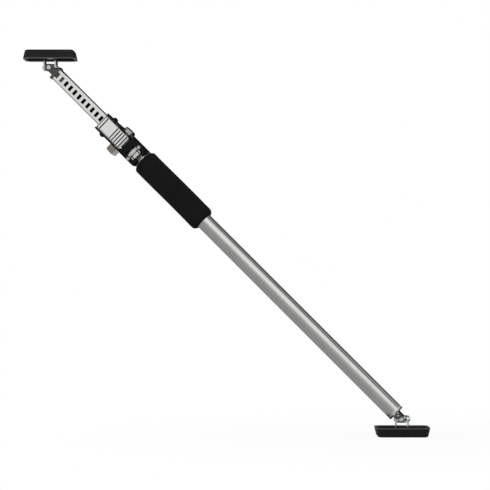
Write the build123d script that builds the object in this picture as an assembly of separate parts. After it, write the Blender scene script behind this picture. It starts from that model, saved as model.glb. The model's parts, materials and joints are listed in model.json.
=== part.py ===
from build123d import *
import math
import os

# Telescopic drywall support, in millimetres: a slotted bar is pumped out of a round tube,
# between two pads that turn and tip on double-fork joints.
# The origin is the centre of the lower pad's sole, and +Z is up.
# The pole is drawn upright on its own z, from the lower pivot, with its front towards -y.
# It is leaned and turned into place at the end.

# Lean and turn of the pole over the pads, in degrees
LEAN = 45.6
TURN = -11.5

# Fits
RUNNING = 0.05
SEAT_GAP = 0.1
SIDE_GAP = 0.3

# Pads
SOLE_LENGTH = 58.6
SOLE_WIDTH = 44.0
RIM_FLARE = 2.6
PAD_HEIGHT = 10.8
PAD_FLOOR = 4.5
PAD_WALL = 3.0
PAD_CORNER = 6.0
SOLE_CHAMFER = 1.0
PLATE_SHEET = 1.2
PLATE_MARGIN = 2.0
PIVOT_HEIGHT = 20.0
PAD_RIVET_RADIUS = 2.5
PAD_RIVET_HEAD = 4.6
PAD_RIVET_FLANGE = 1.5

# Double-fork joints
BRACKET_GAP = 12.4
BRACKET_SHEET = 1.8
BRACKET_BEND = 3.0
BRACKET_BASE = 17.0
EAR_RADIUS = 4.2
EAR_SHEET = 1.8
FORK_GAP = 10.4
FORK_REACH = 9.0
JOINT_PIN_RADIUS = 2.0
RIVET_HEAD_RADIUS = 2.8
RIVET_HEAD_HEIGHT = 1.6
HEAD_CHAMFER = 0.55
BLOCK_CHAMFER = 0.8
FORK_PIN_DEPTH = 2.6

# Main tube
PIN_SPAN = 600.0
TUBE_RADIUS = 10.0
TUBE_WALL = 1.2
TUBE_TOP = 446.5
FORK_FLANGE = 1.4
FORK_PLUG = 24.0

# Foam grip
GRIP_TOP_DROP = 11.5
GRIP_LENGTH = 102.5
GRIP_DOME = 4.8
GRIP_RADIUS = 15.5
GRIP_LOW_ROUND = 5.0
GRIP_TOP_ROUND = 1.5

# Slotted bar
BAR_WIDTH = 15.6
BAR_DEPTH = 9.0
BAR_WALL = 1.4
BAR_CORNER = 2.0
BAR_LENGTH = 460.0
SLOT_PITCH = 7.6
SLOT_WIDTH = 7.0
SLOT_HEIGHT = 3.9
SLOT_COUNT = 53
FIRST_SLOT_DOWN = 4.0
CAP_SHEET = 1.2
CAP_LAP = 1.5
CAP_SIDE = 0.8
SHANK_LENGTH = 15.0
FOOT_HEIGHT = 10.0
FOOT_GAP = 0.2
FOOT_CHAMFER = 1.0

# Guide bush in the tube's top
BUSH_DEPTH = 38.0
BUSH_FLANGE = 1.4
BUSH_BORE_GAP = 0.15

# Pump housing, its heights counted from its low end
HOUSING_WIDTH = 23.5
HOUSING_SHEET = 1.5
HOUSING_BEND = 3.0
HOUSING_LAP = 7.4
HOUSING_HEIGHT = 67.1
HOUSING_FRONT = 14.5
PRONG_DEPTH = 6.0
PRONG_RISE = 48.9
PRONG_FOOT_DEPTH = 10.5
WEB_HEIGHT = 26.9
LIP_WIDTH = 3.9
LIP_HEIGHT = 17.9
COVER_SHEET = 1.2
COVER_RISE = 1.5
COVER_HEIGHT = 23.2
COVER_CORNER = 1.2
PLATE_CORNER = 1.0
COVER_SILL = 1.8
WINDOW_MARGIN = 4.25
WINDOW_HEIGHT = 13.2
HOUSING_RIVET_RADIUS = 1.5
COVER_RIVET_MARGIN = 2.45
COVER_RIVET_RISE = 8.9
COVER_HEAD_RADIUS = 2.2
COVER_HEAD_HEIGHT = 0.9
WEB_RIVET_X = 3.5

# Pump lever and its bolt, with the lever's heights counted from the bolt
LEVER_PLAY = 0.75
LEVER_SHEET = 1.2
LEVER_BEND = 2.2
LEVER_FRONT = 17.0
LEVER_TAIL = 6.7
LEVER_REACH = 33.2
LEVER_LOW_ROUND = 3.0
LEVER_RIM = 3.0
LEVER_EAR = 5.3
LIP_BEAD = 1.6
LIP_GROOVE = 0.8
GROOVE_COUNT = 5
GROOVE_PITCH = 3.7
GROOVE_RADIUS = 0.8
FIRST_GROOVE_RISE = 3.3
BOLT_Y = -9.0
BOLT_RISE = 32.5
BOLT_RADIUS = 4.0
HEX_FLATS = 13.0
BOLT_HEAD = 4.6
NUT_LENGTH = 8.0
THREAD_END = 0.6
HEX_CHAMFER = 0.9

# Black pin across the prongs
STOP_PIN_Y = -9.4
STOP_PIN_RISE = 22.6
STOP_PIN_RADIUS = 1.9
STOP_HEAD_RADIUS = 3.4
STOP_HEAD_HEIGHT = 2.6

# Pawls, drawn just clear of the bar
PAWL_PIN_RADIUS = 1.5
PAWL_HUB = 2.4
PAWL_WIDTH = 5.2
TOOTH_GAP = 0.3
TOOTH_HEIGHT = 1.4
PUMP_PIVOT_Y = -8.8
PUMP_PIVOT_RISE = 9.0
PUMP_SLOT = 14
TOOTH_RISE = 0.6
TOOTH_BACK = 1.2
TOOTH_THROAT = 1.6
HOLD_PIVOT_Y = -9.6
HOLD_PIVOT_RISE = 12.9
HOLD_SLOT = 18
TAB_PLAY = 1.0
TAB_BLOCK = 8.0
TAB_CHEEK = 1.0
TAB_REACH = 15.2
TAB_STEP = 1.6
TAB_DROP = 8.0
TAB_BEND_DROP = 2.6
TAB_RISE = 2.4
SPRING_WIRE = 0.7
SPRING_TURNS = 3
SPRING_SIDES = 6

FORK_SEAT = PLATE_SHEET + PAD_FLOOR + SEAT_GAP
BRACKET_TOP = FORK_SEAT + BRACKET_SHEET
BAR_TOP = PIN_SPAN - FORK_REACH - CAP_SHEET
BAR_FRONT = BAR_DEPTH / 2
TUBE_LOW = FORK_REACH + FORK_FLANGE
TUBE_BORE = TUBE_RADIUS - TUBE_WALL
HOUSING_BACK = TUBE_RADIUS + SEAT_GAP + HOUSING_SHEET
HOUSING_HALF = HOUSING_WIDTH / 2
COVER_RIVET_X = HOUSING_HALF - COVER_RIVET_MARGIN
WINDOW_WIDTH = HOUSING_WIDTH - 2 * WINDOW_MARGIN
LEVER_WIDTH = HOUSING_WIDTH - 2 * (HOUSING_SHEET + LEVER_PLAY)
TAB_WIDTH = WINDOW_WIDTH - 2 * TAB_PLAY

# Heights along the pole, each from the piece that carries it
GRIP_SHOULDER = TUBE_TOP - GRIP_TOP_DROP
GRIP_LOW = GRIP_SHOULDER - GRIP_LENGTH
HOUSING_LOW = TUBE_TOP - HOUSING_LAP
PRONG_TOP = HOUSING_LOW + HOUSING_HEIGHT
PRONG_FOOT = HOUSING_LOW + PRONG_RISE
WEB_TOP = HOUSING_LOW + WEB_HEIGHT
LIP_TOP = HOUSING_LOW + LIP_HEIGHT
COVER_LOW = HOUSING_LOW + COVER_RISE
COVER_TOP = COVER_LOW + COVER_HEIGHT
WINDOW_LOW = COVER_LOW + COVER_SILL
WINDOW_TOP = WINDOW_LOW + WINDOW_HEIGHT
COVER_RIVET_Z = COVER_LOW + COVER_RIVET_RISE
BOLT_Z = HOUSING_LOW + BOLT_RISE
LEVER_LOW = BOLT_Z - LEVER_TAIL
LEVER_TOP = BOLT_Z + LEVER_REACH
FIRST_GROOVE = LEVER_LOW + FIRST_GROOVE_RISE
STOP_PIN_Z = BOLT_Z + STOP_PIN_RISE
PUMP_PIVOT_Z = BOLT_Z + PUMP_PIVOT_RISE
HOLD_PIVOT_Z = HOUSING_LOW + HOLD_PIVOT_RISE
TAB_LOW = HOLD_PIVOT_Z - TAB_DROP
TAB_MIDDLE = HOLD_PIVOT_Z - TAB_BEND_DROP
TAB_TOP = HOLD_PIVOT_Z + TAB_RISE


def slot_z(number):
    """Height of a slot's centre, counted down from the bar's top end."""
    return BAR_TOP - FIRST_SLOT_DOWN - SLOT_PITCH * (number - 1)


def channel(width, depth, sheet, bend):
    """Bent sheet section, open towards +y, with the web's outer face on y = 0."""
    outer = Pos(0, depth) * RectangleRounded(width, 2 * depth, bend)
    inner = Pos(0, depth) * RectangleRounded(width - 2 * sheet, 2 * (depth - sheet), bend - sheet)
    keep = Pos(0, depth / 2) * Rectangle(width, depth)
    return (outer - inner) & keep


def side_prism(points, width):
    """A (y, z) outline drawn from the side and extruded evenly along x."""
    return extrude(Plane.YZ * make_face(Polyline(*points, close=True)), width / 2, both=True)


def cross_rod(radius, x_from, x_to, y=0.0, z=0.0):
    """A round rod along x."""
    return Pos((x_from + x_to) / 2, y, z) * Rot(0, 90, 0) * Cylinder(radius, x_to - x_from)


def depth_rod(radius, y_from, y_to, x=0.0, z=0.0):
    """A round rod along y."""
    return Pos(x, (y_from + y_to) / 2, z) * Rot(90, 0, 0) * Cylinder(radius, y_to - y_from)


def button_head(radius, height):
    """A rivet head on z = 0, chamfered round its outer face."""
    head = Pos(0, 0, height / 2) * Cylinder(radius, height)
    return chamfer(head.edges().group_by(Axis.Z)[-1], HEAD_CHAMFER * height)


def pad_block(low, high, inset, length, width, flare_low, flare_high):
    """A rounded rectangular block that flares from one height to the other."""
    faces = []
    for z, flare in ((low, flare_low), (high, flare_high)):
        grow = 2 * flare - 2 * inset
        corner = PAD_CORNER + flare - inset
        faces.append(Pos(0, 0, z) * RectangleRounded(length + grow, width + grow, corner))
    return loft(faces, ruled=True)


def pad_shoe():
    """Tray-shaped soft pad, sole on z = 0 and rim up."""
    body = pad_block(0, PAD_HEIGHT, 0, SOLE_LENGTH, SOLE_WIDTH, 0, RIM_FLARE)
    floor_flare = RIM_FLARE * PAD_FLOOR / PAD_HEIGHT
    recess = pad_block(
        PAD_FLOOR, PAD_HEIGHT, PAD_WALL, SOLE_LENGTH, SOLE_WIDTH, floor_flare, RIM_FLARE
    )
    pocket_middle = PAD_FLOOR - PAD_RIVET_FLANGE / 2
    pocket = Pos(0, 0, pocket_middle) * Cylinder(PAD_RIVET_HEAD + SEAT_GAP, PAD_RIVET_FLANGE)
    shoe = body - recess - pocket
    return chamfer(shoe.edges().group_by(Axis.Z)[0], SOLE_CHAMFER)


def pad_plate():
    """Steel plate that fills the tray's floor and carries the rivet."""
    length = SOLE_LENGTH - 2 * (PAD_WALL + PLATE_MARGIN)
    width = SOLE_WIDTH - 2 * (PAD_WALL + PLATE_MARGIN)
    outline = Pos(0, 0, PAD_FLOOR) * RectangleRounded(length, width, PAD_CORNER - PAD_WALL)
    plate = extrude(outline, PLATE_SHEET)
    return plate - Pos(0, 0, PAD_FLOOR) * Cylinder(PAD_RIVET_RADIUS, 4 * PLATE_SHEET)


def pad_rivet():
    """Upright rivet on which the bracket turns."""
    low = PAD_FLOOR - PAD_RIVET_FLANGE
    head_z = BRACKET_TOP + SEAT_GAP
    flange = Pos(0, 0, low + PAD_RIVET_FLANGE / 2) * Cylinder(PAD_RIVET_HEAD, PAD_RIVET_FLANGE)
    shank = Pos(0, 0, (low + head_z) / 2) * Cylinder(PAD_RIVET_RADIUS, head_z - low)
    return flange + shank + Pos(0, 0, head_z) * button_head(PAD_RIVET_HEAD, RIVET_HEAD_HEIGHT)


def bracket():
    """Pressed U bracket, with its ears up and its rivet hole in the base."""
    width = BRACKET_GAP + 2 * BRACKET_SHEET
    depth = PIVOT_HEIGHT + EAR_RADIUS - FORK_SEAT
    section = Plane.XZ * channel(width, depth, BRACKET_SHEET, BRACKET_BEND)
    bent = Pos(0, 0, FORK_SEAT) * extrude(section, BRACKET_BASE / 2, both=True)
    half = BRACKET_BASE / 2
    waist = BRACKET_TOP + RIVET_HEAD_HEIGHT
    skirt = side_prism(
        (
            (-half, FORK_SEAT),
            (-half, BRACKET_TOP),
            (-EAR_RADIUS, waist),
            (-EAR_RADIUS, PIVOT_HEIGHT),
            (EAR_RADIUS, PIVOT_HEIGHT),
            (EAR_RADIUS, waist),
            (half, BRACKET_TOP),
            (half, FORK_SEAT),
        ),
        width,
    )
    outline = skirt + cross_rod(EAR_RADIUS, -width / 2, width / 2, 0, PIVOT_HEIGHT)
    body = bent & outline
    body -= cross_rod(JOINT_PIN_RADIUS, -width, width, 0, PIVOT_HEIGHT)
    body -= Pos(0, 0, FORK_SEAT) * Cylinder(PAD_RIVET_RADIUS + RUNNING, 4 * BRACKET_SHEET)
    return body


def tilt_rivet():
    """Rivet through the bracket's ears, drawn about the pivot."""
    half = BRACKET_GAP / 2 + BRACKET_SHEET
    rivet = cross_rod(JOINT_PIN_RADIUS, -half, half)
    for turn in (90, -90):
        place = Rot(0, turn, 0) * Pos(0, 0, half)
        rivet += place * button_head(RIVET_HEAD_RADIUS, RIVET_HEAD_HEIGHT)
    return rivet


def cross_block():
    """Block between the two forks, drawn about the pivot."""
    length = BRACKET_GAP - 2 * SIDE_GAP
    width = FORK_GAP - 2 * SIDE_GAP
    block = Box(length, width, 2 * EAR_RADIUS)
    block = chamfer(block.edges(), BLOCK_CHAMFER)
    block -= cross_rod(JOINT_PIN_RADIUS + RUNNING, -length, length)
    for side in (-1, 1):
        middle = side * (width / 2 - FORK_PIN_DEPTH / 2)
        block -= Pos(0, middle, 0) * Rot(90, 0, 0) * Cylinder(JOINT_PIN_RADIUS, FORK_PIN_DEPTH)
    return block


def fork_pins():
    """Two short headed pins in the block, one for each ear of the fork."""
    inner = FORK_GAP / 2 - SIDE_GAP - FORK_PIN_DEPTH
    outer = FORK_GAP / 2 + EAR_SHEET + SEAT_GAP
    pin = Pos(0, 0, (inner + outer) / 2) * Cylinder(JOINT_PIN_RADIUS, outer - inner)
    pin += Pos(0, 0, outer) * button_head(RIVET_HEAD_RADIUS, RIVET_HEAD_HEIGHT)
    front = Rot(90, 0, 0) * pin
    back = Rot(-90, 0, 0) * pin
    return Compound(children=[front, back])


def fork_ears(reach):
    """Two flat ears about the pivot, joined to a flange at the given height."""
    outline = Circle(EAR_RADIUS) + Pos(0, reach / 2) * Rectangle(2 * EAR_RADIUS, reach)
    outline -= Circle(JOINT_PIN_RADIUS + RUNNING)
    front = Pos(0, -FORK_GAP / 2, 0) * extrude(Plane.XZ * outline, EAR_SHEET)
    return front + mirror(front, about=Plane.XZ)


def lower_fork():
    """Fork with a flange that closes the tube and a plug pressed into it."""
    fork = fork_ears(FORK_REACH + FORK_FLANGE / 2)
    fork += Pos(0, 0, FORK_REACH + FORK_FLANGE / 2) * Cylinder(TUBE_RADIUS, FORK_FLANGE)
    fork += Pos(0, 0, TUBE_LOW + FORK_PLUG / 2) * Cylinder(TUBE_BORE, FORK_PLUG)
    return fork


def bar_section(gap=0.0):
    """Outer section of the bar, with an even gap round it."""
    return RectangleRounded(BAR_WIDTH + 2 * gap, BAR_DEPTH + 2 * gap, BAR_CORNER + gap)


def bar_bore(gap=0.0):
    """Inner section of the bar, with an even gap inside it."""
    grow = 2 * (BAR_WALL + gap)
    return RectangleRounded(BAR_WIDTH - grow, BAR_DEPTH - grow, BAR_CORNER - BAR_WALL)


def upper_fork():
    """Cast fork with a cap over the bar's end and a shank inside it."""
    cap_width = BAR_WIDTH + 2 * CAP_SIDE
    cap_depth = FORK_GAP + 2 * EAR_SHEET
    cap = Pos(0, 0, BAR_TOP - CAP_LAP) * RectangleRounded(cap_width, cap_depth, BAR_CORNER)
    body = extrude(cap, CAP_LAP + CAP_SHEET)
    body -= extrude(Pos(0, 0, BAR_TOP - CAP_LAP) * bar_section(RUNNING), CAP_LAP)
    body += extrude(Pos(0, 0, BAR_TOP - SHANK_LENGTH) * bar_bore(SEAT_GAP), SHANK_LENGTH)
    ears = Pos(0, 0, PIN_SPAN) * Rot(180, 0, 0) * fork_ears(FORK_REACH + CAP_SHEET / 2)
    return body + ears


def slotted_bar():
    """Bar with a row of slots down its front."""
    low = BAR_TOP - BAR_LENGTH
    bar = extrude(Pos(0, 0, low) * (bar_section() - bar_bore()), BAR_LENGTH)
    slots = Sketch()
    for number in range(1, SLOT_COUNT + 1):
        slots += Pos(0, slot_z(number)) * Rectangle(SLOT_WIDTH, SLOT_HEIGHT)
    cutter = extrude(Plane.XZ * slots, 2 * BAR_WALL)
    return bar - Pos(0, -BAR_FRONT + BAR_WALL + SEAT_GAP, 0) * cutter


def bar_foot():
    """Slide foot that keeps the bar's lower end centred in the tube."""
    low = BAR_TOP - BAR_LENGTH
    disc = Pos(0, 0, low - FOOT_HEIGHT / 2) * Cylinder(TUBE_BORE - FOOT_GAP, FOOT_HEIGHT)
    disc = chamfer(disc.edges(), FOOT_CHAMFER)
    return disc + extrude(Pos(0, 0, low) * bar_bore(SEAT_GAP), SHANK_LENGTH)


def main_tube():
    """Round tube, with the holes of the housing's rivets."""
    length = TUBE_TOP - TUBE_LOW
    tube = Pos(0, 0, TUBE_LOW + length / 2) * (
        Cylinder(TUBE_RADIUS, length) - Cylinder(TUBE_BORE, length)
    )
    return tube - housing_rivet_shanks()


def guide_bush():
    """Plastic bush that guides the bar in the tube's top end."""
    bush = Pos(0, 0, TUBE_TOP - BUSH_DEPTH / 2) * Cylinder(TUBE_BORE, BUSH_DEPTH)
    bush += Pos(0, 0, TUBE_TOP + BUSH_FLANGE / 2) * Cylinder(TUBE_RADIUS, BUSH_FLANGE)
    low = TUBE_TOP - BUSH_DEPTH
    bore = extrude(Pos(0, 0, low) * bar_section(BUSH_BORE_GAP), BUSH_DEPTH + BUSH_FLANGE)
    return bush - bore - housing_rivet_shanks()


def grip_sleeve():
    """Foam sleeve, domed at its upper end."""
    ball = (GRIP_RADIUS**2 + GRIP_DOME**2) / (2 * GRIP_DOME)
    drop = ball - math.sqrt(ball**2 - TUBE_RADIUS**2)
    top = GRIP_SHOULDER + GRIP_DOME - drop
    middle_radius = (TUBE_RADIUS + GRIP_RADIUS) / 2
    middle = GRIP_SHOULDER + GRIP_DOME - (ball - math.sqrt(ball**2 - middle_radius**2))
    outline = Polyline(
        (TUBE_RADIUS, top),
        (TUBE_RADIUS, GRIP_LOW),
        (GRIP_RADIUS, GRIP_LOW),
        (GRIP_RADIUS, GRIP_SHOULDER),
    )
    dome = ThreePointArc((GRIP_RADIUS, GRIP_SHOULDER), (middle_radius, middle), (TUBE_RADIUS, top))
    face = make_face(outline.edges() + dome.edges())
    corner = face.vertices().sort_by(Axis.Y)[0:2].sort_by(Axis.X)[-1]
    face = fillet(corner, GRIP_LOW_ROUND)
    shoulder = face.vertices().sort_by(Axis.X)[-2:].sort_by(Axis.Y)[-1]
    face = fillet(shoulder, GRIP_TOP_ROUND)
    return revolve(Plane.XZ * face, Axis.Z)


def housing_rivet_shanks():
    """Shanks of the two rivets that hold the housing's web to the tube."""
    z = (HOUSING_LOW + TUBE_TOP) / 2
    inner = TUBE_BORE - TUBE_WALL
    shanks = []
    for side in (-1, 1):
        shanks.append(depth_rod(HOUSING_RIVET_RADIUS, inner, HOUSING_BACK, side * WEB_RIVET_X, z))
    return Compound(children=shanks)


def housing_rivets():
    """The two rivets at the back, heads outside."""
    rivets = []
    for shank in housing_rivet_shanks().solids():
        place = Pos(shank.center().X, HOUSING_BACK, shank.center().Z) * Rot(-90, 0, 0)
        rivets.append(shank + place * button_head(RIVET_HEAD_RADIUS, RIVET_HEAD_HEIGHT))
    return Compound(children=rivets)


def pump_housing():
    """Bent black housing: a back web, two side plates with prongs, and two front lips."""
    front = -HOUSING_FRONT
    depth = HOUSING_BACK + HOUSING_FRONT
    bent = channel(HOUSING_WIDTH, depth, HOUSING_SHEET, HOUSING_BEND)
    section = Pos(0, HOUSING_BACK) * Rot(0, 0, 180) * bent
    body = extrude(Pos(0, 0, HOUSING_LOW) * section, PRONG_TOP - HOUSING_LOW)
    body &= side_prism(
        (
            (front + PLATE_CORNER, HOUSING_LOW),
            (front, HOUSING_LOW + PLATE_CORNER),
            (front, PRONG_TOP - 2 * PLATE_CORNER),
            (front + 2 * PLATE_CORNER, PRONG_TOP),
            (front + PRONG_DEPTH, PRONG_TOP),
            (front + PRONG_FOOT_DEPTH, PRONG_FOOT),
            (HOUSING_BACK, WEB_TOP),
            (HOUSING_BACK, HOUSING_LOW),
        ),
        HOUSING_WIDTH,
    )
    lip_low = HOUSING_LOW + PLATE_CORNER
    for side in (-1, 1):
        lip = Box(LIP_WIDTH, HOUSING_SHEET, LIP_TOP - lip_low)
        lip_x = side * (HOUSING_HALF - LIP_WIDTH / 2)
        body += Pos(lip_x, front + HOUSING_SHEET / 2, (lip_low + LIP_TOP) / 2) * lip
    body -= cross_rod(BOLT_RADIUS + RUNNING, -HOUSING_WIDTH, HOUSING_WIDTH, BOLT_Y, BOLT_Z)
    body -= cross_rod(STOP_PIN_RADIUS, -HOUSING_WIDTH, HOUSING_WIDTH, STOP_PIN_Y, STOP_PIN_Z)
    body -= cross_rod(PAWL_PIN_RADIUS, -HOUSING_WIDTH, HOUSING_WIDTH, HOLD_PIVOT_Y, HOLD_PIVOT_Z)
    return body - cover_rivet_shanks() - housing_rivet_shanks()


def cover_rivet_shanks():
    """Shanks of the two rivets through the cover and the housing's lips."""
    front = -HOUSING_FRONT - COVER_SHEET
    back = -HOUSING_FRONT + HOUSING_SHEET
    shanks = []
    for side in (-1, 1):
        x = side * COVER_RIVET_X
        shanks.append(depth_rod(HOUSING_RIVET_RADIUS, front, back, x, COVER_RIVET_Z))
    return Compound(children=shanks)


def window_cover():
    """Front plate over the release pawl, with the window for its thumb tab."""
    back = -HOUSING_FRONT
    plate = Plane.XZ * RectangleRounded(HOUSING_WIDTH, COVER_TOP - COVER_LOW, COVER_CORNER)
    cover = Pos(0, back, (COVER_LOW + COVER_TOP) / 2) * extrude(plate, COVER_SHEET)
    window = Box(WINDOW_WIDTH, 4 * COVER_SHEET, WINDOW_TOP - WINDOW_LOW)
    cover -= Pos(0, back, (WINDOW_LOW + WINDOW_TOP) / 2) * window
    return cover - cover_rivet_shanks()


def cover_rivets():
    """The two small rivets of the cover, heads outside."""
    rivets = []
    for shank in cover_rivet_shanks().solids():
        place = Pos(shank.center().X, -HOUSING_FRONT - COVER_SHEET, COVER_RIVET_Z) * Rot(90, 0, 0)
        rivets.append(shank + place * button_head(COVER_HEAD_RADIUS, COVER_HEAD_HEIGHT))
    return Compound(children=rivets)


def hexagon(length):
    """Hexagon prism on z = 0 with its outer corners chamfered."""
    corner = HEX_FLATS / math.sqrt(3)
    prism = extrude(RegularPolygon(corner, 6), length)
    turned = Pos(0, 0, length / 2) * Cylinder(corner, length)
    turned = chamfer(turned.edges().group_by(Axis.Z)[-1], HEX_CHAMFER)
    return prism & turned


def lever_bolt():
    """Hex bolt through the side plates and the lever's ears."""
    end = -HOUSING_HALF - NUT_LENGTH - THREAD_END
    shank = cross_rod(BOLT_RADIUS, end, HOUSING_HALF)
    head = Pos(HOUSING_HALF, 0, 0) * Rot(0, 90, 0) * hexagon(BOLT_HEAD)
    return Pos(0, BOLT_Y, BOLT_Z) * (shank + head)


def lever_nut():
    """Lock nut on the bolt's left end."""
    nut = Rot(0, -90, 0) * hexagon(NUT_LENGTH)
    nut = Pos(-HOUSING_HALF, 0, 0) * nut - cross_rod(BOLT_RADIUS, -3 * NUT_LENGTH, 3 * NUT_LENGTH)
    return Pos(0, BOLT_Y, BOLT_Z) * nut


def stop_pin():
    """Black headed pin across the prongs."""
    pin = cross_rod(STOP_PIN_RADIUS, -HOUSING_HALF, HOUSING_HALF)
    for turn in (90, -90):
        pin += Rot(0, turn, 0) * Pos(0, 0, HOUSING_HALF) * button_head(STOP_HEAD_RADIUS, STOP_HEAD_HEIGHT)
    return Pos(0, STOP_PIN_Y, STOP_PIN_Z) * pin


def pump_lever():
    """Bent lever with ears on the bolt, a rolled lip at the top and finger grooves below."""
    front = -LEVER_FRONT
    ear_back = PUMP_PIVOT_Y + PAWL_HUB
    bent = channel(LEVER_WIDTH, ear_back - front + SIDE_GAP, LEVER_SHEET, LEVER_BEND)
    body = extrude(Pos(0, front, LEVER_LOW) * bent, LEVER_TOP - LEVER_LOW)
    outline = side_prism(
        (
            (front, LEVER_LOW),
            (front, LEVER_TOP),
            (front + LEVER_RIM, LEVER_TOP),
            (front + LEVER_RIM, PUMP_PIVOT_Z + 3 * PAWL_HUB),
            (ear_back, PUMP_PIVOT_Z + PAWL_HUB),
            (ear_back, BOLT_Z),
            (BOLT_Y, LEVER_LOW),
        ),
        LEVER_WIDTH,
    )
    low_edge = outline.edges().filter_by(Axis.X).group_by(Axis.Z)[0].sort_by(Axis.Y)[0]
    outline = fillet(low_edge, LEVER_LOW_ROUND)
    body &= outline + cross_rod(LEVER_EAR, -LEVER_WIDTH / 2, LEVER_WIDTH / 2, BOLT_Y, BOLT_Z)
    bead_z = LEVER_TOP - LIP_BEAD
    body += cross_rod(LIP_BEAD, -LEVER_WIDTH / 2, LEVER_WIDTH / 2, front + LIP_BEAD, bead_z)
    body -= cross_rod(LIP_GROOVE, -LEVER_WIDTH, LEVER_WIDTH, front, bead_z - 2 * LIP_BEAD)
    for number in range(GROOVE_COUNT):
        z = FIRST_GROOVE + GROOVE_PITCH * number
        body -= cross_rod(GROOVE_RADIUS, -LEVER_WIDTH, LEVER_WIDTH, front, z)
    body -= cross_rod(BOLT_RADIUS + RUNNING, -LEVER_WIDTH, LEVER_WIDTH, BOLT_Y, BOLT_Z)
    body -= cross_rod(PAWL_PIN_RADIUS, -LEVER_WIDTH, LEVER_WIDTH, PUMP_PIVOT_Y, PUMP_PIVOT_Z)
    return body


def tooth(pivot_y, pivot_z, tooth_z):
    """Pawl's arm from its hub to a tooth that points at the bar."""
    tip = -BAR_FRONT - TOOTH_GAP
    half = TOOTH_HEIGHT / 2
    return side_prism(
        (
            (pivot_y, pivot_z + PAWL_HUB),
            (pivot_y - PAWL_HUB, pivot_z),
            (pivot_y + PAWL_HUB, pivot_z),
            (tip - TOOTH_BACK, tooth_z - half - TOOTH_THROAT),
            (tip, tooth_z - half),
            (tip, tooth_z + half),
            (tip - TOOTH_BACK, tooth_z + half),
        ),
        PAWL_WIDTH,
    )


def pump_pawl():
    """Small pawl under the lever."""
    hub = cross_rod(PAWL_HUB, -PAWL_WIDTH / 2, PAWL_WIDTH / 2, PUMP_PIVOT_Y, PUMP_PIVOT_Z)
    arm = tooth(PUMP_PIVOT_Y, PUMP_PIVOT_Z, slot_z(PUMP_SLOT) + TOOTH_RISE)
    bore = cross_rod(PAWL_PIN_RADIUS + RUNNING, -PAWL_WIDTH, PAWL_WIDTH, PUMP_PIVOT_Y, PUMP_PIVOT_Z)
    return hub + arm - bore


def pump_pawl_pin():
    """Pin in the lever's ears."""
    half = LEVER_WIDTH / 2
    return cross_rod(PAWL_PIN_RADIUS, -half, half, PUMP_PIVOT_Y, PUMP_PIVOT_Z)


def release_pawl():
    """Pawl that holds the bar, with the stepped thumb tab in the window."""
    hub = cross_rod(PAWL_HUB, -TAB_WIDTH / 2, TAB_WIDTH / 2, HOLD_PIVOT_Y, HOLD_PIVOT_Z)
    arm = tooth(HOLD_PIVOT_Y, HOLD_PIVOT_Z, slot_z(HOLD_SLOT) + TOOTH_RISE)
    outline = (
        (HOLD_PIVOT_Y, HOLD_PIVOT_Z - PAWL_HUB),
        (HOLD_PIVOT_Y, HOLD_PIVOT_Z + PAWL_HUB),
        (-TAB_REACH + TAB_STEP, TAB_TOP),
        (-TAB_REACH, TAB_TOP - TAB_STEP),
        (-TAB_REACH, TAB_MIDDLE),
        (-TAB_REACH + TAB_STEP, TAB_MIDDLE - TAB_STEP),
        (-TAB_REACH + TAB_STEP, TAB_LOW),
        (-TAB_REACH + 2 * TAB_STEP, TAB_LOW),
    )
    tab = side_prism(outline, TAB_BLOCK)
    for side in (-1, 1):
        tab += Pos(side * (TAB_WIDTH - TAB_CHEEK) / 2, 0, 0) * side_prism(outline, TAB_CHEEK)
    bore = cross_rod(PAWL_PIN_RADIUS + RUNNING, -TAB_WIDTH, TAB_WIDTH, HOLD_PIVOT_Y, HOLD_PIVOT_Z)
    return hub + arm + tab - bore


def release_pin():
    """Pin of the release pawl, flush in the side plates."""
    return cross_rod(PAWL_PIN_RADIUS, -HOUSING_HALF, HOUSING_HALF, HOLD_PIVOT_Y, HOLD_PIVOT_Z)


def torsion_spring(inner_x, y, z):
    """Coils of a torsion spring round a pawl's pin."""
    radius = PAWL_PIN_RADIUS + SEAT_GAP + SPRING_WIRE / 2
    pitch = SPRING_WIRE * 1.05
    path = Helix(pitch, pitch * SPRING_TURNS, radius)
    wire = Plane(origin=path @ 0, z_dir=path % 0) * RegularPolygon(SPRING_WIRE / 2, SPRING_SIDES)
    coil = sweep(wire, path=path)
    return Pos(inner_x + SPRING_WIRE / 2 + SEAT_GAP, y, z) * Rot(0, 90, 0) * coil


def in_pole(shape):
    """Leans and turns a shape drawn on the upright pole."""
    return Pos(0, 0, PIVOT_HEIGHT) * Rot(0, 0, TURN) * Rot(0, -LEAN, 0) * shape


def at_lower(shape):
    """Turns a shape drawn over the lower pad."""
    return Rot(0, 0, TURN) * shape


UPPER_PIVOT = in_pole(Pos(0, 0, PIN_SPAN)).position


def at_upper(shape, turn=TURN):
    """Places a shape drawn over a pad so that it hangs under the upper pad."""
    place = Pos(UPPER_PIVOT.X, UPPER_PIVOT.Y, UPPER_PIVOT.Z) * Rot(0, 0, turn) * Rot(180, 0, 0)
    return place * Pos(0, 0, -PIVOT_HEIGHT) * shape


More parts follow.
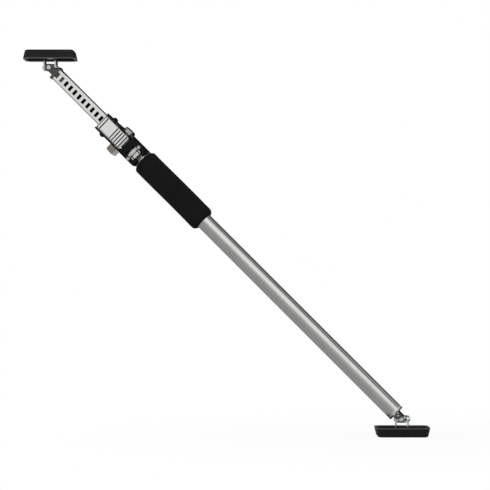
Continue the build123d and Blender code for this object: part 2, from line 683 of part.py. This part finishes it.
PIECES = {
    "lower_pad_shoe": pad_shoe(),
    "lower_pad_plate": pad_plate(),
    "lower_pad_rivet": pad_rivet(),
    "lower_bracket": at_lower(bracket()),
    "lower_tilt_rivet": at_lower(Pos(0, 0, PIVOT_HEIGHT) * tilt_rivet()),
    "lower_cross_block": at_lower(Pos(0, 0, PIVOT_HEIGHT) * cross_block()),
    "lower_fork_pins": at_lower(Pos(0, 0, PIVOT_HEIGHT) * fork_pins()),
    "lower_fork": in_pole(lower_fork()),
    "main_tube": in_pole(main_tube()),
    "foam_grip": in_pole(grip_sleeve()),
    "guide_bush": in_pole(guide_bush()),
    "pump_housing": in_pole(pump_housing()),
    "housing_rivets": in_pole(housing_rivets()),
    "window_cover": in_pole(window_cover()),
    "cover_rivets": in_pole(cover_rivets()),
    "lever_bolt": in_pole(lever_bolt()),
    "lever_nut": in_pole(lever_nut()),
    "stop_pin": in_pole(stop_pin()),
    "pump_lever": in_pole(pump_lever()),
    "pump_pawl": in_pole(pump_pawl()),
    "pump_pawl_pin": in_pole(pump_pawl_pin()),
    "pump_pawl_spring": in_pole(torsion_spring(PAWL_WIDTH / 2, PUMP_PIVOT_Y, PUMP_PIVOT_Z)),
    "release_pawl": in_pole(release_pawl()),
    "release_pin": in_pole(release_pin()),
    "release_spring": in_pole(torsion_spring(TAB_WIDTH / 2, HOLD_PIVOT_Y, HOLD_PIVOT_Z)),
    "slotted_bar": in_pole(slotted_bar()),
    "bar_foot": in_pole(bar_foot()),
    "upper_fork": in_pole(upper_fork()),
    "upper_fork_pins": at_upper(Pos(0, 0, PIVOT_HEIGHT) * fork_pins()),
    "upper_cross_block": at_upper(Pos(0, 0, PIVOT_HEIGHT) * cross_block()),
    "upper_tilt_rivet": at_upper(Pos(0, 0, PIVOT_HEIGHT) * tilt_rivet()),
    "upper_bracket": at_upper(bracket()),
    "upper_pad_rivet": at_upper(pad_rivet(), 0),
    "upper_pad_plate": at_upper(pad_plate(), 0),
    "upper_pad_shoe": at_upper(pad_shoe(), 0),
}

os.makedirs("parts", exist_ok=True)
for name, piece in PIECES.items():
    export_step(piece, f"parts/{name}.step")
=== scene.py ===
import json
import math
import bmesh
import bpy
from mathutils import Matrix, Vector


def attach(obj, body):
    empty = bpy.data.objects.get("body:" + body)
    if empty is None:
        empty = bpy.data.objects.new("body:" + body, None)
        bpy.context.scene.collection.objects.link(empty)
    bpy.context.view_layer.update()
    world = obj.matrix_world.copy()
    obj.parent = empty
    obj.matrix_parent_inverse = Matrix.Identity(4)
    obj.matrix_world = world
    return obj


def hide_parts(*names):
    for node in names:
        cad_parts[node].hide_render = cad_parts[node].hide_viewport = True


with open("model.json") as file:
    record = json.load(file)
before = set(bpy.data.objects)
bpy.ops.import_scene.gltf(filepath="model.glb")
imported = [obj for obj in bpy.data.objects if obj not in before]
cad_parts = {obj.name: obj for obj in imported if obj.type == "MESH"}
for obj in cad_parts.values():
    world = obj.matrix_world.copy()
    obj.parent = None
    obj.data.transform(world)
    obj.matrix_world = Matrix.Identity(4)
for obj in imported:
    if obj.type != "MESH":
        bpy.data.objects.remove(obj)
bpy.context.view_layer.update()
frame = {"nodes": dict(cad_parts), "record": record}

# Pole: rise of its pivot over the sole, span between pivots, lean and turn, as on the solids
PIVOT_RISE = 0.020
PIVOT_SPAN = 0.600
PIVOT = Vector((0.0, 0.0, PIVOT_RISE))
LEAN = math.radians(45.6)
TURN = math.radians(-11.5)
POLE_FRAME = Matrix.Rotation(TURN, 3, "Z") @ Matrix.Rotation(-LEAN, 3, "Y")
RIGHT, BACK, ALONG = (POLE_FRAME.col[index].copy() for index in range(3))

# Photo, in pixels of its 490 by 490 frame, with the tube's width as its scale
PHOTO_SIDE = 490
PHOTO_FOCAL = 2130.0
HORIZON = 257.0
LOWER_PIVOT_PIXEL = (402.0, 419.0)
TUBE_WIDTH = 0.020
TUBE_PIXELS = 17.05
METRES_PER_PIXEL = TUBE_WIDTH / TUBE_PIXELS
SENSOR_WIDTH = 36.0
LEVEL_VIEW = (math.radians(90), 0, 0)

# Tube's lower end, with the pale band over it
TUBE_LOW = 0.0104
RIM_BRIGHT = 0.0035

# Foam grip, its rounded ends and the slow waves in its skin
GRIP_LOW = 0.3325
GRIP_SHOULDER = 0.4350
GRIP_DOME = 0.0048
GRIP_RADIUS = 0.0155
GRIP_BORE = 0.0101
GRIP_LOW_ROUND = 0.0060
GRIP_LOW_LIP = 0.05
SHOULDER_ROUND = 0.0015
SHOULDER_TURN = math.radians(70)
GRIP_UNEVEN = 0.00012
WAVES_ROUND = 3
WAVES_ALONG = 70.0
ROUND_STEPS = 8
GRIP_LENGTHS = 24
GRIP_TURNS = 72

# Slotted bar, as on the solids, and how far in from its side and front the painted shade of its hollow
# starts
BAR_WIDTH = 0.0156
BAR_DEPTH = 0.0090
BAR_CORNER = 0.0020
HOLLOW_SIDE = 0.0008
HOLLOW_FRONT = 0.0004
HOLLOW_FADE = 0.0004
BAR_BEND_FADE = 0.0004

# Pump lever, as on the solids. Its grooves get painted shade between its low line and its bead, and a line
# of painted shadow runs along its fold
LEVER_WIDTH = 0.0190
LEVER_BEND = 0.0022
LEVER_BEND_FADE = 0.0006
LEVER_FRONT = 0.0170
LEVER_BEAD = 0.5014
LEVER_LOW_LINE = 0.4670
LEVER_FOLD = 0.5036
LINE_FADE = 0.0004
FOLD_HALF = 0.0005
FOLD_REACH = 0.0009
GROOVE_TOP = 0.00010
GROOVE_FLOOR = 0.00035
GROOVE_END = 0.0010
GROOVE_FULL = 0.0016

# Sides of bar and lever, where their painted shade starts and is full
SIDE_SHADE_START = 0.0006
SIDE_SHADE_FULL = 0.0002

# Front flat of the lock nut, which gets painted shade
NUT_FRONT = -0.0155
NUT_FLAT_START = 0.0003
NUT_FLAT_FULL = 0.0001

# Pads' rims, over and under the pole, and the width of the painted highlight along them
PAD_HEIGHT = 0.0108
RIM_HIGHLIGHT_BAND = 0.0014
UPPER_SOLE = 2 * PIVOT_RISE + PIVOT_SPAN * math.cos(LEAN)

# Steels: darker colour, lighter colour and roughness
STEELS = {
    "zinc_bright": ((0.50, 0.53, 0.54), (0.82, 0.86, 0.88), 0.16),
    # zinc of the joints, painted dark: painted shade and painted dark reflections
    "zinc_painted_shade": ((0.02, 0.02, 0.02), (0.20, 0.21, 0.21), 0.20),
    "fastener_nickel": ((0.36, 0.33, 0.31), (0.66, 0.61, 0.58), 0.16),
    "nut_nickel": ((0.46, 0.42, 0.40), (0.78, 0.73, 0.70), 0.16),
    "hard_steel": ((0.20, 0.19, 0.18), (0.42, 0.40, 0.38), 0.35),
    "tab_bright": ((0.50, 0.50, 0.49), (0.85, 0.85, 0.84), 0.14),
    "bar_bright": ((0.78, 0.78, 0.76), (0.92, 0.92, 0.90), 0.22),
    "lever_bright": ((0.80, 0.80, 0.79), (0.93, 0.93, 0.92), 0.22),
}

# Marks on the steels: a pale band, and painted shade and painted reflections, with the noise at which a
# painted reflection patch starts and is full
PAINTED_REFLECTION_START, PAINTED_REFLECTION_FULL = 0.58, 0.64
BAND_PALE = (0.66, 0.62, 0.60)
PAINTED_REFLECTION_PALE = (0.72, 0.74, 0.74)
FLAT_PAINTED_SHADE = (0.24, 0.21, 0.19)
BAR_BEND_PAINTED_SHADE = (0.50, 0.50, 0.49)
BAR_SIDE_PAINTED_SHADE = (0.06, 0.06, 0.06)
BAR_HOLLOW_PAINTED_SHADE = (0.02, 0.02, 0.02)
LEVER_BEND_PAINTED_SHADE = (0.45, 0.45, 0.44)
LEVER_SIDE_PAINTED_SHADE = (0.03, 0.03, 0.03)
LEVER_PAINTED_SHADE = (0.07, 0.07, 0.07)
FOLD_SHADE_SHARE = 0.8

# How much a steel's clouds, brushing and worn edges count in its tone, and its roughness either way
CLOUD_WEIGHT = 0.5
GRAIN_WEIGHT = 0.4
EDGE_WEIGHT = 0.4
ROUGHNESS_SPREAD = 0.03

# Worn edges: radius looked over, rays for it, and how fast the wear comes on
EDGE_RADIUS = 0.0006
EDGE_SAMPLES = 4
EDGE_GAIN = 6.0

# Studio light: what matt and mirror rays see of the room
ROOM_GLOW = 0.24
WALL_GLOW = 0.78
OVERHEAD_GLOW = 0.26
BEHIND_GLOW = 0.02
OVERHEAD_START, OVERHEAD_FULL = 0.70, 0.76
FAR_START, FAR_FULL = 0.30, 0.45
BEHIND_START, BEHIND_FULL = 0.72, 0.82
BEHIND_WAY = (0.2, 0.97, 0.1)

# Floor: half its width, how much longer it is, and its glow to the camera and in mirrors
FLOOR_HALF = 3.0
FLOOR_LONGER = 2
FLOOR_GLOW = 0.95
FLOOR_GLOW_RISE = 0.12
FLOOR_MIRROR_GLOW = 0.36

# Lamps: place, size across and down, and watts
LAMP_TARGET = (-0.2, 0.04, 0.23)
SOFTBOX = ((0.16, -1.16, 1.26), (1.7, 1.36), 6.8)
SIDE_FILL = ((-1.5, -0.5, 0.5), (0.8, 0.8), 2.0)


class Value:
    """A shader number or vector that takes part in arithmetic."""

    def __init__(self, tree, socket):
        self.tree = tree
        self.socket = socket

    def _maths(self, operation, left, right=None):
        node = self.tree.nodes.new("ShaderNodeMath")
        node.operation = operation
        for index, value in enumerate((left, right)):
            if isinstance(value, Value):
                self.tree.links.new(value.socket, node.inputs[index])
            elif value is not None:
                node.inputs[index].default_value = value
        return Value(self.tree, node.outputs[0])

    def __add__(self, other):
        return self._maths("ADD", self, other)

    def __radd__(self, other):
        return self._maths("ADD", other, self)

    def __sub__(self, other):
        return self._maths("SUBTRACT", self, other)

    def __rsub__(self, other):
        return self._maths("SUBTRACT", other, self)

    def __mul__(self, other):
        return self._maths("MULTIPLY", self, other)

    def __rmul__(self, other):
        return self._maths("MULTIPLY", other, self)

    def size(self):
        return self._maths("ABSOLUTE", self)

    def ramp(self, start, end):
        """Rises from 0 to 1 between two values."""
        return ((self - start) * (1.0 / (end - start))).clamp()

    def between(self, low, high):
        """Two values for 0 and 1, and those between them."""
        return low + self * (high - low)

    def clamp(self):
        return self._maths("MINIMUM", self._maths("MAXIMUM", self, 0.0), 1.0)


def opaque(colour):
    """A colour with full alpha, or a shader value as it is."""
    return colour if isinstance(colour, Value) else (*colour, 1.0)


class Shading:
    """A node tree with one maker for all nodes but those of arithmetic."""

    def __init__(self, tree):
        self.tree = tree

    def make(self, kind, settings=None, inputs=None):
        made = self.tree.nodes.new(kind)
        for key, value in (settings or {}).items():
            setattr(made, key, value)
        for key, value in (inputs or {}).items():
            if isinstance(value, Value):
                self.link(value, made.inputs[key])
            else:
                made.inputs[key].default_value = value
        return made

    def node(self, kind, settings=None, inputs=None, output=0):
        """Makes a node and gives one of its outputs."""
        return Value(self.tree, self.make(kind, settings, inputs).outputs[output])

    def link(self, value, socket):
        self.tree.links.new(value.socket, socket)

    def dot(self, first, second):
        if not isinstance(second, Value):
            second = tuple(second)
        settings = {"operation": "DOT_PRODUCT"}
        return self.node("ShaderNodeVectorMath", settings, {0: first, 1: second}, "Value")

    def length(self, place):
        return self.node("ShaderNodeVectorMath", {"operation": "LENGTH"}, {0: place}, "Value")

    def ray(self, kind):
        return self.node("ShaderNodeLightPath", output=kind)


class Finish(Shading):
    """One procedural material, with a place for each varying input."""

    def __init__(self, name, colour, roughness, metallic=0.0, specular=0.5):
        self.material = bpy.data.materials.new(name)
        self.material.use_nodes = True
        super().__init__(self.material.node_tree)
        self.tree.nodes.clear()
        inputs = {
            "Base Color": opaque(colour),
            "Roughness": roughness,
            "Metallic": metallic,
            "Specular IOR Level": specular,
        }
        self.shader = self.make("ShaderNodeBsdfPrincipled", None, inputs)
        self.surface = Value(self.tree, self.shader.outputs["BSDF"])
        self.output = self.make("ShaderNodeOutputMaterial", None, {"Surface": self.surface})

    def object_place(self):
        return self.node("ShaderNodeTexCoord", output="Object")

    def pole_axis(self, axis):
        """Distance from the lower pivot along one of the pole's axes."""
        return self.dot(self.object_place(), axis) - PIVOT.dot(axis)

    def pole_place(self, across, along):
        """Coordinates with one scale round the pole and another along it."""
        place = self.object_place()
        inputs = {
            "X": self.dot(place, RIGHT) * across,
            "Y": self.dot(place, BACK) * across,
            "Z": self.dot(place, ALONG) * along,
        }
        return self.node("ShaderNodeCombineXYZ", None, inputs)

    def noise(self, scale, detail, place=None):
        inputs = {"Vector": place or self.object_place(), "Scale": scale, "Detail": detail}
        return self.node("ShaderNodeTexNoise", None, inputs)

    def mix(self, factor, first, second):
        inputs = {"Factor": factor, 6: opaque(first), 7: opaque(second)}
        return self.node("ShaderNodeMix", {"data_type": "RGBA"}, inputs, 2)

    def drive(self, socket, value):
        self.link(value, self.shader.inputs[socket])

    def bump(self, height, strength, distance):
        inputs = {"Height": height, "Strength": strength, "Distance": distance}
        self.drive("Normal", self.node("ShaderNodeBump", None, inputs))


def worn_edges(finish, radius=EDGE_RADIUS):
    """A factor that rises on outer edges, from a bevelled normal."""
    bevel = finish.node("ShaderNodeBevel", {"samples": EDGE_SAMPLES}, {"Radius": radius})
    normal = finish.node("ShaderNodeNewGeometry", output="Normal")
    return ((1.0 - finish.dot(bevel, normal)) * EDGE_GAIN).clamp()


def tube_finish():
    """Satin steel drawn along the pole, with a pale band at its lower end."""
    finish = Finish("tube_satin_steel", (0.44, 0.44, 0.43), 0.20, metallic=1.0)
    grain = finish.noise(scale=1.0, detail=3.0, place=finish.pole_place(across=900.0, along=12.0))
    cloud = finish.noise(scale=30.0, detail=2.0)
    grain_share = 0.4
    tone = (grain * grain_share + cloud * (1.0 - grain_share)).clamp()
    band = finish.pole_axis(ALONG).ramp(TUBE_LOW + RIM_BRIGHT, TUBE_LOW + RIM_BRIGHT / 2)
    colour = finish.mix(tone, (0.38, 0.38, 0.37), (0.49, 0.49, 0.48))
    finish.drive("Base Color", finish.mix(band, colour, BAND_PALE))
    band_roughness = 0.25
    finish.drive("Roughness", grain.between(0.20, 0.28) + band * band_roughness)
    finish.bump(grain, strength=0.03, distance=0.00005)
    return finish.material


def bright_finish(name):
    """A steel with faint cross brushing, and its colour before any marks."""
    dark, light, roughness = STEELS[name]
    finish = Finish(name, light, roughness, metallic=1.0)
    cloud = finish.noise(scale=60.0, detail=2.0)
    grain = finish.noise(scale=1.0, detail=2.0, place=finish.pole_place(across=60.0, along=1500.0))
    edge = worn_edges(finish)
    tone = (cloud * CLOUD_WEIGHT + grain * GRAIN_WEIGHT + edge * EDGE_WEIGHT).clamp()
    colour = finish.mix(tone, dark, light)
    finish.drive("Base Color", colour)
    finish.drive("Roughness", grain.between(roughness - ROUGHNESS_SPREAD, roughness + ROUGHNESS_SPREAD))
    finish.bump(grain, strength=0.02, distance=0.00003)
    return finish, colour


def plain_steel(name):
    """A steel without marks."""
    finish, colour = bright_finish(name)
    return finish.material


def shaded_zinc():
    """Zinc of the forks and blocks, painted dark as painted shade, with patches of painted reflection."""
    finish, colour = bright_finish("zinc_painted_shade")
    # patches of painted reflection on the painted dark zinc
    painted_reflection = finish.noise(scale=300.0, detail=1.0).ramp(PAINTED_REFLECTION_START, PAINTED_REFLECTION_FULL)
    finish.drive("Base Color", finish.mix(painted_reflection, colour, PAINTED_REFLECTION_PALE))
    return finish.material


def nut_finish():
    """Lock nut, with painted shade on its front flat."""
    finish, colour = bright_finish("nut_nickel")
    # painted shade on the nut's front flat, at a fixed place on it
    front = finish.pole_axis(BACK).ramp(NUT_FRONT + NUT_FLAT_START, NUT_FRONT + NUT_FLAT_FULL)
    finish.drive("Base Color", finish.mix(front, colour, FLAT_PAINTED_SHADE))
    return finish.material


def painted_shade_strip(finish, colour, half, bend, fade, bend_shade_colour, side_shade_colour):
    """Colour of a strip with painted shade on its bends and darker painted shade on its sides, from its
    half width and bends.
    """
    across = finish.pole_axis(RIGHT).size()
    # painted shade over the bends, and darker painted shade on the sides
    bend_shade = across.ramp(half - bend, half - bend + fade)
    side_shade = across.ramp(half - SIDE_SHADE_START, half - SIDE_SHADE_FULL)
    colour = finish.mix(bend_shade, colour, bend_shade_colour)
    return finish.mix(side_shade, colour, side_shade_colour)


def bar_finish():
    """Bright bar with painted shade on its bends, its sides and inside its hollow."""
    finish, colour = bright_finish("bar_bright")
    half = BAR_WIDTH / 2
    colour = painted_shade_strip(
        finish, colour, half, BAR_CORNER, BAR_BEND_FADE, BAR_BEND_PAINTED_SHADE, BAR_SIDE_PAINTED_SHADE
    )
    across = finish.pole_axis(RIGHT).size()
    depth = finish.pole_axis(BACK).size()
    front = BAR_DEPTH / 2 - HOLLOW_FRONT
    # painted shade inside the bar's hollow
    hollow_shade = across.ramp(half - HOLLOW_SIDE, half - HOLLOW_SIDE - HOLLOW_FADE)
    hollow_shade = hollow_shade * depth.ramp(front, front - HOLLOW_FADE)
    finish.drive("Base Color", finish.mix(hollow_shade, colour, BAR_HOLLOW_PAINTED_SHADE))
    return finish.material


def lever_finish():
    """Bright lever with painted shade on its bends and sides, in its grooves and along its fold."""
    finish, colour = bright_finish("lever_bright")
    half = LEVER_WIDTH / 2
    colour = painted_shade_strip(
        finish, colour, half, LEVER_BEND, LEVER_BEND_FADE, LEVER_BEND_PAINTED_SHADE, LEVER_SIDE_PAINTED_SHADE
    )
    across = finish.pole_axis(RIGHT).size()
    along = finish.pole_axis(ALONG)
    # painted shade in the grooves, and a line of painted shadow along the fold
    groove = finish.pole_axis(BACK).ramp(-LEVER_FRONT + GROOVE_TOP, -LEVER_FRONT + GROOVE_FLOOR)
    groove = groove * across.ramp(half - GROOVE_END, half - GROOVE_FULL)
    groove = groove * along.ramp(LEVER_BEAD, LEVER_BEAD - LINE_FADE)
    groove = groove * along.ramp(LEVER_LOW_LINE - LINE_FADE, LEVER_LOW_LINE)
    fold = (along - LEVER_FOLD).size().ramp(FOLD_REACH, FOLD_HALF)
    groove_and_fold_shade = (groove + fold * FOLD_SHADE_SHARE).clamp()
    finish.drive("Base Color", finish.mix(groove_and_fold_shade, colour, LEVER_PAINTED_SHADE))
    return finish.material


def cast_finish():
    """Dark gritty casting, paler on its edges."""
    finish = Finish("cast_dark", (0.10, 0.09, 0.08), 0.5, metallic=0.6)
    grit = finish.noise(scale=1500.0, detail=4.0)
    edge = worn_edges(finish, radius=0.0005)
    grit_weight = 0.6
    edge_weight = 0.5
    tone = (grit * grit_weight + edge * edge_weight).clamp()
    finish.drive("Base Color", finish.mix(tone, (0.05, 0.047, 0.042), (0.22, 0.20, 0.18)))
    finish.bump(grit, strength=0.25, distance=0.0002)
    return finish.material


def paint_finish():
    """Gloss black paint, worn grey in places on its edges."""
    black = (0.004, 0.004, 0.004)
    finish = Finish("gloss_black_paint", black, 0.22, specular=0.14)
    peel = finish.noise(scale=420.0, detail=2.0)
    edge = worn_edges(finish, radius=0.0005)
    wear = 1.2
    worn = (edge * finish.noise(scale=900.0, detail=3.0) * wear).clamp()
    finish.drive("Base Color", finish.mix(worn, black, (0.05, 0.05, 0.05)))
    finish.drive("Roughness", peel.between(0.18, 0.32))
    finish.bump(peel, strength=0.12, distance=0.0003)
    return finish.material


def pad_finish():
    """Black moulded rubber, with a painted highlight along the rim of each pad."""
    finish = Finish("pad_moulded_rubber", (0.007, 0.007, 0.007), 0.5, specular=0.22)
    grit = finish.noise(scale=2600.0, detail=3.0)
    cloud = finish.noise(scale=60.0, detail=2.0)
    edge = worn_edges(finish, radius=0.0008)
    height = finish.dot(finish.object_place(), (0, 0, 1))
    # painted highlight along each pad's rim, strongest on its edges
    lower_rim_highlight = (height - PAD_HEIGHT).size().ramp(RIM_HIGHLIGHT_BAND, RIM_HIGHLIGHT_BAND / 2)
    upper_rim_highlight = (height - (UPPER_SOLE - PAD_HEIGHT)).size().ramp(RIM_HIGHLIGHT_BAND, RIM_HIGHLIGHT_BAND / 2)
    base = finish.mix(cloud, (0.005, 0.005, 0.005), (0.009, 0.009, 0.009))
    rim_highlight = ((lower_rim_highlight + upper_rim_highlight) * edge.between(0.5, 1.0)).clamp()
    finish.drive("Base Color", finish.mix(rim_highlight, base, (0.24, 0.24, 0.24)))
    finish.drive("Roughness", grit.between(0.45, 0.65))
    finish.bump(grit, strength=0.2, distance=0.0002)
    return finish.material


def plastic_finish():
    """Black plastic of the guides inside the tube."""
    finish = Finish("guide_plastic", (0.02, 0.02, 0.02), 0.45)
    grit = finish.noise(scale=1800.0, detail=2.0)
    finish.drive("Roughness", grit.between(0.38, 0.53))
    finish.bump(grit, strength=0.1, distance=0.0001)
    return finish.material


def foam_finish():
    """Black foam with open cells."""
    finish = Finish("grip_black_foam", (0.012, 0.012, 0.012), 0.9, specular=0.12)
    inputs = {"Vector": finish.object_place(), "Scale": 1700.0}
    cells = finish.node("ShaderNodeTexVoronoi", None, inputs, "Distance")
    cloud = finish.noise(scale=90.0, detail=3.0)
    finish.drive("Base Color", finish.mix(cloud, (0.009, 0.009, 0.009), (0.018, 0.018, 0.018)))
    cell_share = 0.7
    height = cells * cell_share + finish.noise(scale=700.0, detail=3.0) * (1.0 - cell_share)
    finish.bump(height, strength=0.35, distance=0.0004)
    return finish.material


def dress_nodes():
    """Gives every carried-over solid its material."""
    looks = {
        "zinc_steel": plain_steel("zinc_bright"),
        "pad_rubber": pad_finish(),
        "tube_steel": tube_finish(),
        "grip_foam": foam_finish(),
        "black_plastic": plastic_finish(),
        "black_paint": paint_finish(),
        "fastener_nickel": plain_steel("fastener_nickel"),
        "bright_steel": plain_steel("tab_bright"),
        "hard_steel": plain_steel("hard_steel"),
        "cast_dark": cast_finish(),
    }
    shaded = shaded_zinc()
    special = {
        "slotted_bar": bar_finish(),
        "pump_lever": lever_finish(),
        "lever_nut": nut_finish(),
        "lower_fork": shaded,
        "lower_cross_block": shaded,
        "upper_cross_block": shaded,
    }
    for subpart in frame["record"]["subparts"]:
        name = subpart["node"]
        look = special.get(name, looks[subpart["material_slot"]])
        for material_slot in frame["nodes"][name].material_slots:
            material_slot.material = look
    return looks


def grip_profile():
    """Radius and height of the foam grip's outline, from the lower bore to the upper bore."""
    wall = GRIP_RADIUS - GRIP_BORE
    profile = [(GRIP_BORE, GRIP_LOW)]
    low = GRIP_LOW + GRIP_LOW_ROUND
    for step in range(ROUND_STEPS + 1):
        angle = math.pi / 2 * (step / ROUND_STEPS - 1)
        radius = GRIP_RADIUS - GRIP_LOW_ROUND + GRIP_LOW_ROUND * math.cos(angle)
        radius = max(radius, GRIP_BORE + wall * GRIP_LOW_LIP)
        profile.append((radius, low + GRIP_LOW_ROUND * math.sin(angle)))
    top = GRIP_SHOULDER - SHOULDER_ROUND
    for step in range(1, GRIP_LENGTHS):
        profile.append((GRIP_RADIUS, low + (top - low) * step / GRIP_LENGTHS))
    for step in range(ROUND_STEPS + 1):
        angle = SHOULDER_TURN * step / ROUND_STEPS
        radius = GRIP_RADIUS - SHOULDER_ROUND + SHOULDER_ROUND * math.cos(angle)
        profile.append((radius, top + SHOULDER_ROUND * math.sin(angle)))
    rim = profile[-1][0]
    ball = (GRIP_RADIUS**2 + GRIP_DOME**2) / (2 * GRIP_DOME)
    for step in range(1, ROUND_STEPS + 1):
        radius = rim + (GRIP_BORE - rim) * step / ROUND_STEPS
        drop = ball - math.sqrt(ball**2 - radius**2)
        profile.append((radius, GRIP_SHOULDER + GRIP_DOME - drop))
    return profile


def make_uneven(shape):
    """Moves the foam in and out in slow waves, all of it outside and none at the bore."""
    for corner in shape.verts:
        place = POLE_FRAME.transposed() @ (corner.co - PIVOT)
        radius = math.hypot(place.x, place.y)
        angle = math.atan2(place.y, place.x)
        share = (radius - GRIP_BORE) / (GRIP_RADIUS - GRIP_BORE)
        swell = GRIP_UNEVEN * share * math.sin(WAVES_ROUND * angle + WAVES_ALONG * place.z)
        grown = 1.0 + swell / radius
        corner.co = PIVOT + POLE_FRAME @ Vector((place.x * grown, place.y * grown, place.z))


def grip_piece(material):
    """Foam grip turned round the tube, slightly uneven as foam is."""
    mesh = bpy.data.meshes.new("foam_sleeve")
    shape = bmesh.new()
    corners = [shape.verts.new(PIVOT + RIGHT * radius + ALONG * along) for radius, along in grip_profile()]
    edges = [shape.edges.new(pair) for pair in zip(corners, corners[1:] + corners[:1])]
    bmesh.ops.spin(
        shape,
        geom=corners + edges,
        cent=PIVOT,
        axis=ALONG,
        angle=2 * math.pi,
        steps=GRIP_TURNS,
        use_merge=True,
    )
    make_uneven(shape)
    bmesh.ops.recalc_face_normals(shape, faces=shape.faces)
    for face in shape.faces:
        face.smooth = True
    shape.to_mesh(mesh)
    shape.free()
    piece = bpy.data.objects.new("foam_sleeve", mesh)
    bpy.context.collection.objects.link(piece)
    mesh.materials.append(material)
    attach(piece, "tube")
    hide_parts("foam_grip")


def stage_floor():
    """Pale floor under the lower pad, white to the camera apart from a faint shadow."""
    mesh = bpy.data.meshes.new("floor")
    shape = bmesh.new()
    bmesh.ops.create_grid(shape, x_segments=1, y_segments=1, size=FLOOR_HALF)
    bmesh.ops.scale(shape, vec=(1, FLOOR_LONGER, 1), verts=shape.verts)
    bmesh.ops.translate(shape, vec=(0, FLOOR_HALF, 0), verts=shape.verts)
    shape.to_mesh(mesh)
    shape.free()
    floor = bpy.data.objects.new("floor", mesh)
    bpy.context.collection.objects.link(floor)
    finish = Finish("floor_white", (0.8, 0.8, 0.8), 0.9)
    glow = (finish.length(finish.object_place()) * FLOOR_GLOW_RISE + FLOOR_GLOW).clamp()
    share = finish.ray("Is Camera Ray") * glow + finish.ray("Is Glossy Ray") * FLOOR_MIRROR_GLOW
    white = finish.node("ShaderNodeEmission", None, {"Strength": 1.0})
    inputs = {0: share.clamp(), 1: finish.surface, 2: white}
    finish.link(finish.node("ShaderNodeMixShader", None, inputs), finish.output.inputs["Surface"])
    mesh.materials.append(finish.material)


def white_world():
    """Studio that is white to the camera, grey round the object, and dim overhead and behind."""
    world = bpy.data.worlds.new("studio")
    bpy.context.scene.world = world
    world.use_nodes = True
    shading = Shading(world.node_tree)
    background = next(node for node in shading.tree.nodes if node.type == "BACKGROUND")
    direction = shading.node("ShaderNodeTexCoord", output="Generated")
    overhead = shading.dot(direction, (0, 0, 1)).ramp(OVERHEAD_START, OVERHEAD_FULL)
    far = shading.dot(direction, (0, 1, 0)).ramp(FAR_START, FAR_FULL)
    behind = shading.dot(direction, BEHIND_WAY).ramp(BEHIND_START, BEHIND_FULL)
    wall = (overhead + far).clamp().between(WALL_GLOW, OVERHEAD_GLOW)
    wall = wall - behind * (OVERHEAD_GLOW - BEHIND_GLOW)
    strength = shading.ray("Is Camera Ray") + shading.ray("Is Glossy Ray") * wall
    strength = strength + shading.ray("Is Diffuse Ray") * ROOM_GLOW
    background.inputs["Color"].default_value = (1.0, 1.0, 1.0, 1.0)
    shading.link(strength, background.inputs["Strength"])


def area_lamp(name, place, size, watts):
    """Soft rectangular lamp that faces the middle of the object."""
    lamp = bpy.data.lights.new(name, "AREA")
    lamp.shape = "RECTANGLE"
    lamp.size, lamp.size_y = size
    lamp.energy = watts
    made = bpy.data.objects.new(name, lamp)
    bpy.context.collection.objects.link(made)
    made.location = place
    made.rotation_euler = (Vector(LAMP_TARGET) - Vector(place)).to_track_quat("-Z", "Y").to_euler()


def studio():
    """Camera at the photo's angle, with soft lamps."""
    half = PHOTO_SIDE / 2
    camera = bpy.data.cameras.new("camera")
    camera.sensor_width = SENSOR_WIDTH
    camera.lens = SENSOR_WIDTH * PHOTO_FOCAL / PHOTO_SIDE
    camera.shift_y = (HORIZON - half) / PHOTO_SIDE
    made = bpy.data.objects.new("camera", camera)
    bpy.context.collection.objects.link(made)
    made.location = (
        -(LOWER_PIVOT_PIXEL[0] - half) * METRES_PER_PIXEL,
        -METRES_PER_PIXEL * PHOTO_FOCAL,
        PIVOT_RISE + (LOWER_PIVOT_PIXEL[1] - HORIZON) * METRES_PER_PIXEL,
    )
    made.rotation_euler = LEVEL_VIEW
    bpy.context.scene.camera = made
    area_lamp("softbox", *SOFTBOX)
    area_lamp("side_fill", *SIDE_FILL)
    bpy.context.scene.view_settings.view_transform = "Standard"


looks = dress_nodes()
grip_piece(looks["grip_foam"])
stage_floor()
white_world()
studio()
